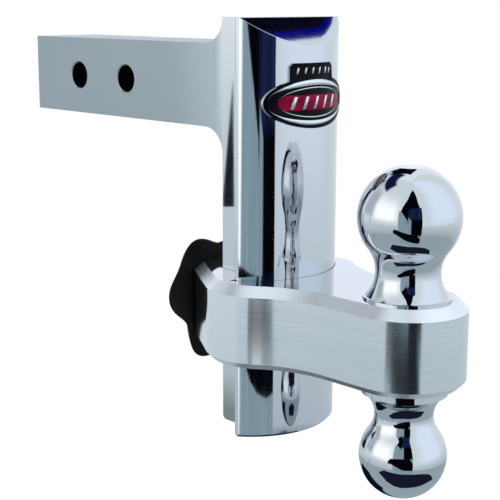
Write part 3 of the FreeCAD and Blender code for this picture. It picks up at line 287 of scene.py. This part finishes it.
def drawbar_aluminium():
    """Satin shank with painted light and shade: darker sides, lighter top and root, bores painted
    dark; polished web and bow, with faint upright lines.
    """
    r = new_recipe("drawbar_aluminium")
    on_bow = r.remap(r.axis("X"), SHOULDER_X - SHOULDER_BLEND, SHOULDER_X + SHOULDER_BLEND)
    cloud = r.noise(28.0, 3.0)
    grain = r.noise(2600.0, 1.0)
    lines = r.noise(60.0, 3.0, stretch=(22.0, 22.0, 0.35))
    # Painted light and shade: the satin sides are painted dark, lighter towards the root, and the
    # faces that look up are painted lighter
    shaded_side_color = r.blend(cloud, (0.325, 0.37, 0.405), (0.375, 0.42, 0.445))
    lit_root_color = r.blend(cloud, (0.42, 0.48, 0.51), (0.47, 0.53, 0.55))
    near_root = r.remap(r.axis("X"), ROOT_START_X, POST_BACK_X, smooth=True)
    shaded_side_color = r.blend(near_root, shaded_side_color, lit_root_color)
    lit_top_color = r.blend(cloud, (0.50, 0.55, 0.60), (0.56, 0.61, 0.66))
    satin_color_and_painted_light = r.blend(r.remap(r.facing("Z"), 0.4, 0.8), shaded_side_color, lit_top_color)
    # Painted shade: the walls of the pin bores are painted near black
    bore_painted_shade = r.math("MAXIMUM", near_axis(r, 0.0, 0.0, PIN_BORE_RADIUS),
                     near_axis(r, PIN_PITCH, 0.0, PIN_BORE_RADIUS))
    bore_painted_shade = r.math("MULTIPLY", bore_painted_shade, r.remap(r.math("ABSOLUTE", r.facing("Y")), 0.5, 0.4))
    satin_color_and_painted_light = r.blend(bore_painted_shade, satin_color_and_painted_light, (0.012, 0.014, 0.016))
    on_web = r.remap(r.axis("X"), WEB_START_X, POST_BACK_X)
    satin_rough = r.mix(on_web, r.remap(cloud, 0.3, 0.7, 0.30, 0.38),
                        r.remap(cloud, 0.3, 0.7, 0.02, 0.04))
    satin_color_and_painted_light = r.blend(on_web, satin_color_and_painted_light, (0.62, 0.655, 0.68))
    satin = r.surface(satin_color_and_painted_light, 1.0, satin_rough,
                      r.bump(grain, 0.00003, r.mix(on_web, 0.35, 0.0)))
    polish_rough = r.remap(lines, 0.35, 0.75, 0.03, 0.07)
    edge = r.add("Bevel", samples=4)
    edge.inputs["Radius"].default_value = EDGE_RADIUS
    normal = r.bump(lines, 0.000010, 0.25, under=edge.outputs["Normal"])
    polish = r.surface((0.64, 0.665, 0.70), 1.0, polish_rough, normal)
    return r.done(r.shade(on_bow, satin, polish))


def mount_aluminium():
    """Polished top, underside painted dark as shade, satin chamfers, side walls brushed lengthwise.
    """
    r = new_recipe("mount_aluminium")
    slope = r.facing("Z")
    tilt = r.math("ABSOLUTE", slope)
    level = r.remap(tilt, 0.90, 0.96)
    under = r.remap(slope, -0.90, -0.96)
    wall = r.remap(tilt, 0.30, 0.20)
    past_corner = r.remap(r.axis("X"), BRUSHING_START_X - BRUSHING_BLEND,
                          BRUSHING_START_X + BRUSHING_BLEND)
    streaks = r.noise(26.0, 4.0, stretch=(0.35, 0.35, 130.0))
    fine_streaks = r.noise(60.0, 2.0, stretch=(0.25, 0.25, 110.0))
    cloud = r.noise(35.0, 2.0)
    # Painted shade: the faces that look down are painted near black
    polish_and_painted_underside = r.blend(under, (0.66, 0.68, 0.72), (0.045, 0.05, 0.055))
    polish_rough = r.mix(under, r.remap(cloud, 0.3, 0.7, 0.03, 0.07), 0.35)
    polish = r.surface(polish_and_painted_underside, 1.0, polish_rough)
    satin = r.surface((0.86, 0.88, 0.91), 1.0, r.remap(cloud, 0.3, 0.7, 0.32, 0.38))
    brushed_color = r.blend(r.remap(streaks, 0.3, 0.7), (0.62, 0.66, 0.69), (0.72, 0.75, 0.78))
    up = r.add("CombineXYZ")
    up.inputs["Z"].default_value = 1.0
    relief = r.bump(streaks, 0.00002, 0.4)
    relief = r.bump(fine_streaks, 0.00001, 0.3, under=relief)
    brushed = r.surface(brushed_color, 1.0, r.remap(fine_streaks, 0.3, 0.7, 0.14, 0.20), relief,
                        Anisotropic=0.75, Tangent=up.outputs[0])
    smooth_wall = r.surface((0.78, 0.80, 0.82), 1.0, r.remap(cloud, 0.3, 0.7, 0.09, 0.14),
                            r.bump(streaks, 0.00002, 0.15))
    walls = r.shade(past_corner, smooth_wall, brushed)
    edges = r.shade(wall, satin, walls)
    return r.done(r.shade(level, edges, polish))


def ball_chrome():
    """Mirror plating with the faintest waviness and hairline scratches."""
    r = new_recipe("ball_chrome")
    waves = r.noise(45.0, 1.0)
    hairs = r.noise(140.0, 4.0, stretch=(1.0, 1.0, 6.0))
    rough = r.remap(hairs, 0.5, 0.8, 0.02, 0.07)
    normal = r.bump(waves, 0.0002, 0.12)
    return r.done(r.surface((0.66, 0.685, 0.71), 1.0, rough, normal))


def turned_steel(name, color, rough, lines_along=(900.0, 60.0, 60.0)):
    """Machined steel with fine tool lines."""
    r = new_recipe(name)
    lines = r.noise(1.0, 2.0, stretch=lines_along)
    cloud = r.noise(120.0, 2.0)
    tint = r.blend(cloud, color, tuple(0.86 * c for c in color))
    return r.done(r.surface(tint, 1.0, r.remap(lines, 0.3, 0.7, rough - 0.05, rough + 0.08),
                            r.bump(lines, 0.00003, 0.4)))


def badge_chrome():
    """Chrome of the crescents, pinstripes and dashes."""
    r = new_recipe("badge_chrome")
    cloud = r.noise(300.0, 2.0)
    return r.done(r.surface((0.78, 0.80, 0.83), 1.0, r.remap(cloud, 0.3, 0.7, 0.05, 0.12)))


def badge_border():
    """Chrome edges around a glossy black face; the face is where the normal leaves the bow."""
    r = new_recipe("badge_border")
    ahead = r.math("SUBTRACT", r.axis("X"), BOW_CENTRE_X)
    aside = r.axis("Y")
    outward = r.math("ADD", r.math("MULTIPLY", ahead, r.facing("X")),
                     r.math("MULTIPLY", aside, r.facing("Y")))
    face = r.remap(outward, 0.90 * BADGE_FACE, 0.97 * BADGE_FACE)
    cloud = r.noise(300.0, 2.0)
    chrome = r.surface((0.42, 0.44, 0.47), 1.0, r.remap(cloud, 0.3, 0.7, 0.05, 0.12))
    gloss = r.surface((0.002, 0.002, 0.004), 0.0, r.remap(cloud, 0.3, 0.7, 0.12, 0.22),
                      Specular_IOR_Level=0.06)
    return r.done(r.shade(face, chrome, gloss))


def badge_enamel(name, deep, light, rough):
    """Glossy enamel with a slight shift of depth."""
    r = new_recipe(name)
    pool = r.noise(120.0, 2.0)
    color = r.blend(r.remap(pool, 0.35, 0.7), deep, light)
    return r.done(r.surface(color, 0.0, rough, r.bump(r.noise(900.0, 1.0), 0.00002, 0.3),
                            Specular_IOR_Level=0.07))


def knob_plastic():
    """Black moulded plastic with a fine spark-eroded grain, slightly worn in random patches."""
    r = new_recipe("knob_plastic")
    grain = r.noise(2400.0, 3.0)
    wear = r.remap(r.noise(60.0, 4.0), 0.55, 0.75)
    color = r.blend(wear, (0.0015, 0.0015, 0.002), (0.004, 0.004, 0.0045))
    rough = r.mix(wear, 0.50, 0.40)
    return r.done(r.surface(color, 0.0, rough, r.bump(grain, 0.00006, 0.5),
                            Specular_IOR_Level=0.16))


def lock_brass():
    """Brass of the lock plug and its wafers, unevenly tarnished."""
    r = new_recipe("lock_brass")
    cloud = r.noise(220.0, 3.0)
    color = r.blend(cloud, (0.72, 0.55, 0.27), (0.62, 0.46, 0.22))
    return r.done(r.surface(color, 1.0, r.remap(cloud, 0.3, 0.7, 0.24, 0.36)))


def dress_cad_nodes():
    """Gives every CAD node its finish."""
    steel = turned_steel("machined_steel", (0.52, 0.53, 0.55), 0.28)
    zinc = turned_steel("zinc_steel", (0.62, 0.64, 0.66), 0.30, (300.0, 300.0, 300.0))
    satin_plate = turned_steel("satin_plate", (0.60, 0.61, 0.63), 0.22, (60.0, 200.0, 200.0))
    chrome = ball_chrome()
    brass = lock_brass()
    finishes = {
        "drawbar": drawbar_aluminium(),
        "ball_mount": mount_aluminium(),
        "upper_ball": chrome,
        "lower_ball": chrome,
        "badge_rim": badge_border(),
        "badge_field": badge_enamel("badge_black", (0.001, 0.001, 0.002),
                                    (0.004, 0.004, 0.007), 0.3),
        "badge_bar": badge_enamel("badge_red", (0.13, 0.0, 0.018),
                                  (0.32, 0.002, 0.045), 0.25),
        "knob": knob_plastic(),
        "lock_housing": steel,
        "snap_ring": steel,
        "lock_pin": steel,
        "drive_screw": steel,
        "knob_insert": steel,
        "knob_cross_pin": steel,
        "ball_lock_washer": zinc,
        "ball_roll_pin": zinc,
        "housing_screws": zinc,
        "guide_screw": zinc,
        "cover_rivet": zinc,
        "lock_shell": satin_plate,
        "dust_cover": satin_plate,
        "lock_plug": brass,
        "lock_wafers": brass,
    }
    for name, material in finishes.items():
        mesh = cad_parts[name].data
        mesh.materials.clear()
        mesh.materials.append(material)


# ---------------------------------------------------------------- badge detail

def on_bow(across, up, radius):
    """A point of the badge: distance along the bow, height, and distance from its axis."""
    angle = math.asin(across / BOW_RADIUS)
    return Vector((BOW_CENTRE_X + radius * math.cos(angle), radius * math.sin(angle),
                   BADGE_Z + up))


def make_ribbons(name, ribbons, low, high, material):
    """Raised ribbons on the badge; each is a run of rungs, pairs of (across, up) points."""
    mesh = bmesh.new()
    shoulder = 0.5 * (low + high)
    for rungs in ribbons:
        rings = []
        for (across_a, up_a), (across_b, up_b) in rungs:
            middle = (0.5 * (across_a + across_b), 0.5 * (up_a + up_b))
            rings.append([mesh.verts.new(on_bow(*point)) for point in (
                (across_a, up_a, low), (across_a, up_a, shoulder), (*middle, high),
                (across_b, up_b, shoulder), (across_b, up_b, low))])
        for near, far in zip(rings, rings[1:]):
            for k in range(len(near) - 1):
                mesh.faces.new((near[k], near[k + 1], far[k + 1], far[k]))
        mesh.faces.new(rings[0])
        mesh.faces.new(list(reversed(rings[-1])))
    bmesh.ops.recalc_face_normals(mesh, faces=mesh.faces)
    return finish_piece(mesh, name, material, "drawbar")


def crescent(side, outer_share, inner_share, reach_share):
    """Rungs of a crescent inside the badge's oval, tapering to both tips."""
    steps = 40
    reach = reach_share * BADGE_STRIPE_REACH
    rungs = []
    for step in range(steps + 1):
        along = -1.0 + 2.0 * step / steps
        rise = BADGE_STRIPE_RISE * math.sqrt(1.0 - (0.985 * along) ** 2)
        thick = (outer_share - inner_share) * (1.0 - along ** 4) + 0.01
        across = reach * along
        rungs.append(((across, side * rise * (outer_share - thick)),
                      (across, side * rise * outer_share)))
    return rungs


def dash(across, up, width, height, slant):
    """Rungs of one slanted dash about a point."""
    return [((across + lean - 0.5 * width, up + rise), (across + lean + 0.5 * width, up + rise))
            for lean, rise in ((-0.5 * slant, -0.5 * height), (0.5 * slant, 0.5 * height))]


def make_badge_detail(material):
    """Crescents and pinstripes around the bar, and plain slanted dashes in place of wording."""
    make_ribbons("badge_crescents", [crescent(1.0, 0.98, 0.76, 0.96),
                                     crescent(-1.0, 0.98, 0.80, 0.96)],
                 BADGE_FIELD, BADGE_FACE, material)
    make_ribbons("badge_pinstripes", [crescent(1.0, 0.66, 0.62, 0.80),
                                      crescent(-1.0, 0.66, 0.62, 0.80)],
                 BADGE_FIELD, BADGE_FIELD + 0.0003, material)
    make_ribbons("badge_bar_dashes", [dash(0.0072 * k, 0.0, 0.0022, 0.0070, 0.0026)
                                      for k in (-2.2, -1.1, 0.0, 1.1, 2.2)],
                 BADGE_FACE - 0.0001, BADGE_FACE + 0.0002, material)
    make_ribbons("badge_tab_dashes", [dash(0.0054 * k, BADGE_TAB_MIDDLE, 0.0013, 0.0036, 0.0008)
                                      for k in (-2.5, -1.5, -0.5, 0.5, 1.5, 2.2)],
                 BADGE_FIELD, BADGE_FIELD + 0.0003, material)


def finish_piece(mesh, name, material, body):
    """Turns a bmesh into an object that rides on a body."""
    data = bpy.data.meshes.new(name)
    mesh.to_mesh(data)
    mesh.free()
    for polygon in data.polygons:
        polygon.use_smooth = True
    data.materials.append(material)
    piece = bpy.data.objects.new(name, data)
    bpy.context.scene.collection.objects.link(piece)
    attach(piece, body)
    return piece


# ---------------------------------------------------------------- studio

def make_world():
    """Soft white surroundings, dimmer near the ground; plain pale for the camera itself."""
    world = bpy.data.worlds.new("studio_world")
    bpy.context.scene.world = world
    r = Recipe(world)
    split = r.add("SeparateXYZ")
    r.join(r.add("TexCoord").outputs["Generated"], split.inputs[0])
    x, y, z = split.outputs
    flat = r.math("SQRT", r.math("ADD", r.math("MULTIPLY", x, x), r.math("MULTIPLY", y, y)))
    flat = r.math("MAXIMUM", flat, 0.0001)

    def towards(azimuth, half_width, softness):
        """1 inside a wedge of compass directions, counted from +X towards +Y, in degrees."""
        angle = math.radians(azimuth)
        along = r.math("ADD", r.math("MULTIPLY", x, math.cos(angle)),
                       r.math("MULTIPLY", y, math.sin(angle)))
        share = r.math("DIVIDE", along, flat)
        return r.remap(share, math.cos(math.radians(half_width + softness)),
                       math.cos(math.radians(half_width)), smooth=True)

    def above(degrees, softness):
        """1 above an elevation."""
        return r.remap(z, math.sin(math.radians(degrees)),
                       math.sin(math.radians(degrees + softness)), smooth=True)

    def both(first, second):
        """1 where both are 1."""
        return r.math("MULTIPLY", first, second)

    def below(degrees, softness):
        """1 below an elevation."""
        return r.math("SUBTRACT", 1.0, above(degrees, softness))

    color = r.blend(above(-36.0, 36.0), (0.44, 0.52, 0.58), (0.84, 0.92, 0.97))
    right = both(towards(32.0, 14.0, 34.0), above(-14.0, 16.0))
    color = r.blend(right, color, (0.98, 1.08, 1.24))
    left = both(towards(250.0, 12.0, 28.0), both(above(-8.0, 12.0), below(18.0, 40.0)))
    color = r.blend(left, color, (1.45, 1.47, 1.45))
    strip = both(towards(298.0, 3.5, 2.0), both(above(-60.0, 10.0), below(2.0, 6.0)))
    color = r.blend(strip, color, (1.6, 1.65, 1.65))
    shade = both(towards(198.0, 14.0, 14.0), below(30.0, 20.0))
    color = r.blend(both(shade, above(-4.0, 8.0)), color, (0.55, 0.60, 0.66))
    color = r.blend(both(towards(140.0, 30.0, 15.0), above(-2.0, 6.0)), color, (1.0, 1.05, 1.15))
    rear = both(towards(185.0, 32.0, 12.0), above(44.0, 5.0))
    color = r.blend(both(rear, below(64.0, 6.0)), color, (0.008, 0.010, 0.05))
    pale = r.blend(r.add("LightPath").outputs["Is Camera Ray"], color, (1.0, 1.0, 1.0))
    light = r.add("Background")
    r.join(pale, light.inputs["Color"])
    r.done(light.outputs[0])


def make_floor():
    """A plain pale floor, evenly lit."""
    data = bpy.data.meshes.new("floor")
    mesh = bmesh.new()
    bmesh.ops.create_circle(mesh, cap_ends=True, segments=96, radius=FLOOR_RADIUS)
    mesh.to_mesh(data)
    mesh.free()
    floor = bpy.data.objects.new("floor", data)
    floor.location = (STUDIO_X, 0.0, FLOOR_Z)
    bpy.context.scene.collection.objects.link(floor)
    r = new_recipe("floor_pale")
    data.materials.append(r.done(r.surface(
        FLOOR_COLOR, 0.0, 0.9, Emission_Color=(1.0, 1.0, 1.0, 1.0), Emission_Strength=FLOOR_GLOW)))


def make_card(name, corners, shader):
    """A flat card seen only in reflections; shader(recipe) gives its look."""
    mesh = bmesh.new()
    mesh.faces.new([mesh.verts.new(corner) for corner in corners])
    data = bpy.data.meshes.new(name)
    mesh.to_mesh(data)
    mesh.free()
    r = new_recipe(name)
    data.materials.append(r.done(shader(r)))
    card = bpy.data.objects.new(name, data)
    bpy.context.scene.collection.objects.link(card)
    card.visible_camera = False
    card.visible_shadow = False
    card.visible_diffuse = False


def glow(r, color):
    """A card's own even light."""
    node = r.add("Emission")
    r.feed(node.inputs["Color"], color if isinstance(color, bpy.types.NodeSocket)
           else (*color, 1.0))
    return node.outputs[0]


def on_screen(share, height):
    """A point of the upright plane in front of the hitch that the dark cards stand in."""
    return Vector((*SCREEN_LEFT, 0.0)).lerp(Vector((*SCREEN_RIGHT, 0.0)), share) \
        + Vector((0.0, 0.0, height))


def screen_look(r):
    """Grey screen with a black band that widens and turns navy towards the top."""
    run = Vector((*SCREEN_RIGHT, 0.0)) - Vector((*SCREEN_LEFT, 0.0))
    split = r.add("SeparateXYZ")
    r.join(r.position(), split.inputs[0])
    x, _, height = split.outputs
    share = r.math("DIVIDE", r.math("SUBTRACT", x, SCREEN_LEFT[0]), run.x)
    soft = 0.02
    wedge_left = r.remap(height, -0.059, 0.033, 0.51, 0.09)
    wedge = r.math("MULTIPLY", r.remap(r.math("SUBTRACT", share, wedge_left), -soft, soft),
                   r.remap(share, 0.55 + soft, 0.55 - soft))
    wedge = r.math("MULTIPLY", wedge, r.remap(height, -0.085, -0.065))
    band_left = r.remap(height, -0.059, -0.024, 0.68, 0.52)
    band = r.remap(r.math("SUBTRACT", share, band_left), -soft, soft)
    band = r.math("MULTIPLY", band, r.remap(height, -0.19, -0.17))
    dark = r.math("MAXIMUM", wedge, band)
    streaks = r.noise(55.0, 4.0, stretch=(6.0, 6.0, 0.12))
    navy = r.blend(r.remap(streaks, 0.42, 0.62), (0.0, 0.002, 0.02), (0.03, 0.045, 0.15))
    upper = r.math("MULTIPLY", r.remap(height, -0.060, -0.035), r.remap(share, 0.50, 0.66))
    inside = r.blend(upper, (0.001, 0.001, 0.003), navy)
    cloud = r.remap(r.noise(30.0, 2.0, stretch=(2.0, 2.0, 0.2)), 0.3, 0.7)
    grey = r.blend(cloud, (0.27, 0.38, 0.44), (0.34, 0.46, 0.52))
    return glow(r, r.blend(dark, grey, inside))


def around_ball(outline):
    """Flat ring piece about the balls' axis, from (compass direction, inner, outer) stops."""
    inner = []
    outer = []
    for start, end in zip(outline, outline[1:]):
        last = RING_STEPS + 1 if end is outline[-1] else RING_STEPS
        for step in range(last):
            turn, near, far = Vector(start).lerp(Vector(end), step / RING_STEPS)
            turn = math.radians(turn)
            inner.append((BALL_X + near * math.cos(turn), near * math.sin(turn), UNDER_Z))
            outer.append((BALL_X + far * math.cos(turn), far * math.sin(turn), UNDER_Z))
    return outer + inner[::-1]


def make_screen_cards():
    """Dark shapes in front of the hitch, which the bow, the balls and the boss mirror."""
    make_card("screen", [on_screen(*point) for point in SCREEN_OUTLINE], screen_look)
    make_card("screen_top", [on_screen(*point) for point in SCREEN_TOP_OUTLINE],
              lambda r: glow(r, SCREEN_TOP_GLOW))
    make_card("screen_low", [on_screen(*point) + SCREEN_LOW_OFFSET for point in SCREEN_LOW_OUTLINE],
              lambda r: glow(r, SCREEN_LOW_GLOW))


def web_look(r):
    """A light that fades towards the bottom of its card."""
    fade = r.remap(r.axis("Z"), WEB_FADE_START_Z, WEB_FADE_END_Z)
    return glow(r, r.blend(fade, WEB_GLOW_HIGH, WEB_GLOW_LOW))


def make_side_cards():
    """Shapes beside the hitch and below the balls, which the web and the balls mirror."""
    make_card("web_shade_low", [(x, WEB_CARD_Y, z) for x, z in WEB_SHADE_LOW_OUTLINE], web_look)
    make_card("under_front", around_ball(UNDER_FRONT_OUTLINE), lambda r: glow(r, UNDER_FRONT_GLOW))
    make_card("under_back", around_ball(UNDER_BACK_OUTLINE), lambda r: glow(r, UNDER_BACK_GLOW))
    make_card("web_shade", [(x, WEB_CARD_Y, z) for x, z in WEB_SHADE_OUTLINE],
              lambda r: glow(r, WEB_SHADE_GLOW))


def make_roof_card(name, shift, color):
    """An upright card behind the hitch, which the bevel on top of the post mirrors."""
    y = ROOF_Y + ROOF_SLANT * shift
    corners = [(x + shift, y, z) for x, z in ROOF_EDGE]
    corners += [(ROOF_BACK_X, y, ROOF_LOW_Z), (ROOF_BACK_X, y, ROOF_HIGH_Z)]
    make_card(name, corners, lambda r: glow(r, color))


def make_ground_card():
    """A grey disc just above the floor, which every polished face mirrors in place of it."""
    turns = [math.tau * k / GROUND_SIDES for k in range(GROUND_SIDES)]
    corners = [(STUDIO_X + GROUND_RADIUS * math.cos(turn), GROUND_RADIUS * math.sin(turn), GROUND_Z)
               for turn in turns]
    make_card("ground_grey", corners, lambda r: glow(r, GROUND_GLOW))


def make_camera():
    """The photograph's viewpoint."""
    data = bpy.data.cameras.new("camera")
    data.sensor_width = SENSOR_MM
    data.lens = CAMERA_LENS_MM
    data.clip_start = 0.01
    data.clip_end = 50.0
    camera = bpy.data.objects.new("camera", data)
    turn = Matrix.Rotation(math.radians(CAMERA_AZIMUTH), 4, "Z")
    nod = Matrix.Rotation(math.radians(90.0 - CAMERA_ELEVATION), 4, "X")
    roll = Matrix.Rotation(math.radians(CAMERA_ROLL), 4, "Z")
    camera.matrix_world = Matrix.Translation(CAMERA_PLACE) @ turn @ nod @ roll
    bpy.context.scene.collection.objects.link(camera)
    bpy.context.scene.camera = camera


make_camera()
dress_cad_nodes()
make_badge_detail(badge_chrome())
make_world()
make_floor()
make_screen_cards()
make_side_cards()
make_roof_card("roof_blue", 0.0, ROOF_BLUE_GLOW)
make_roof_card("roof_black", ROOF_BLACK_SHIFT, ROOF_BLACK_GLOW)
make_ground_card()
bpy.context.scene.view_settings.view_transform = "Standard"
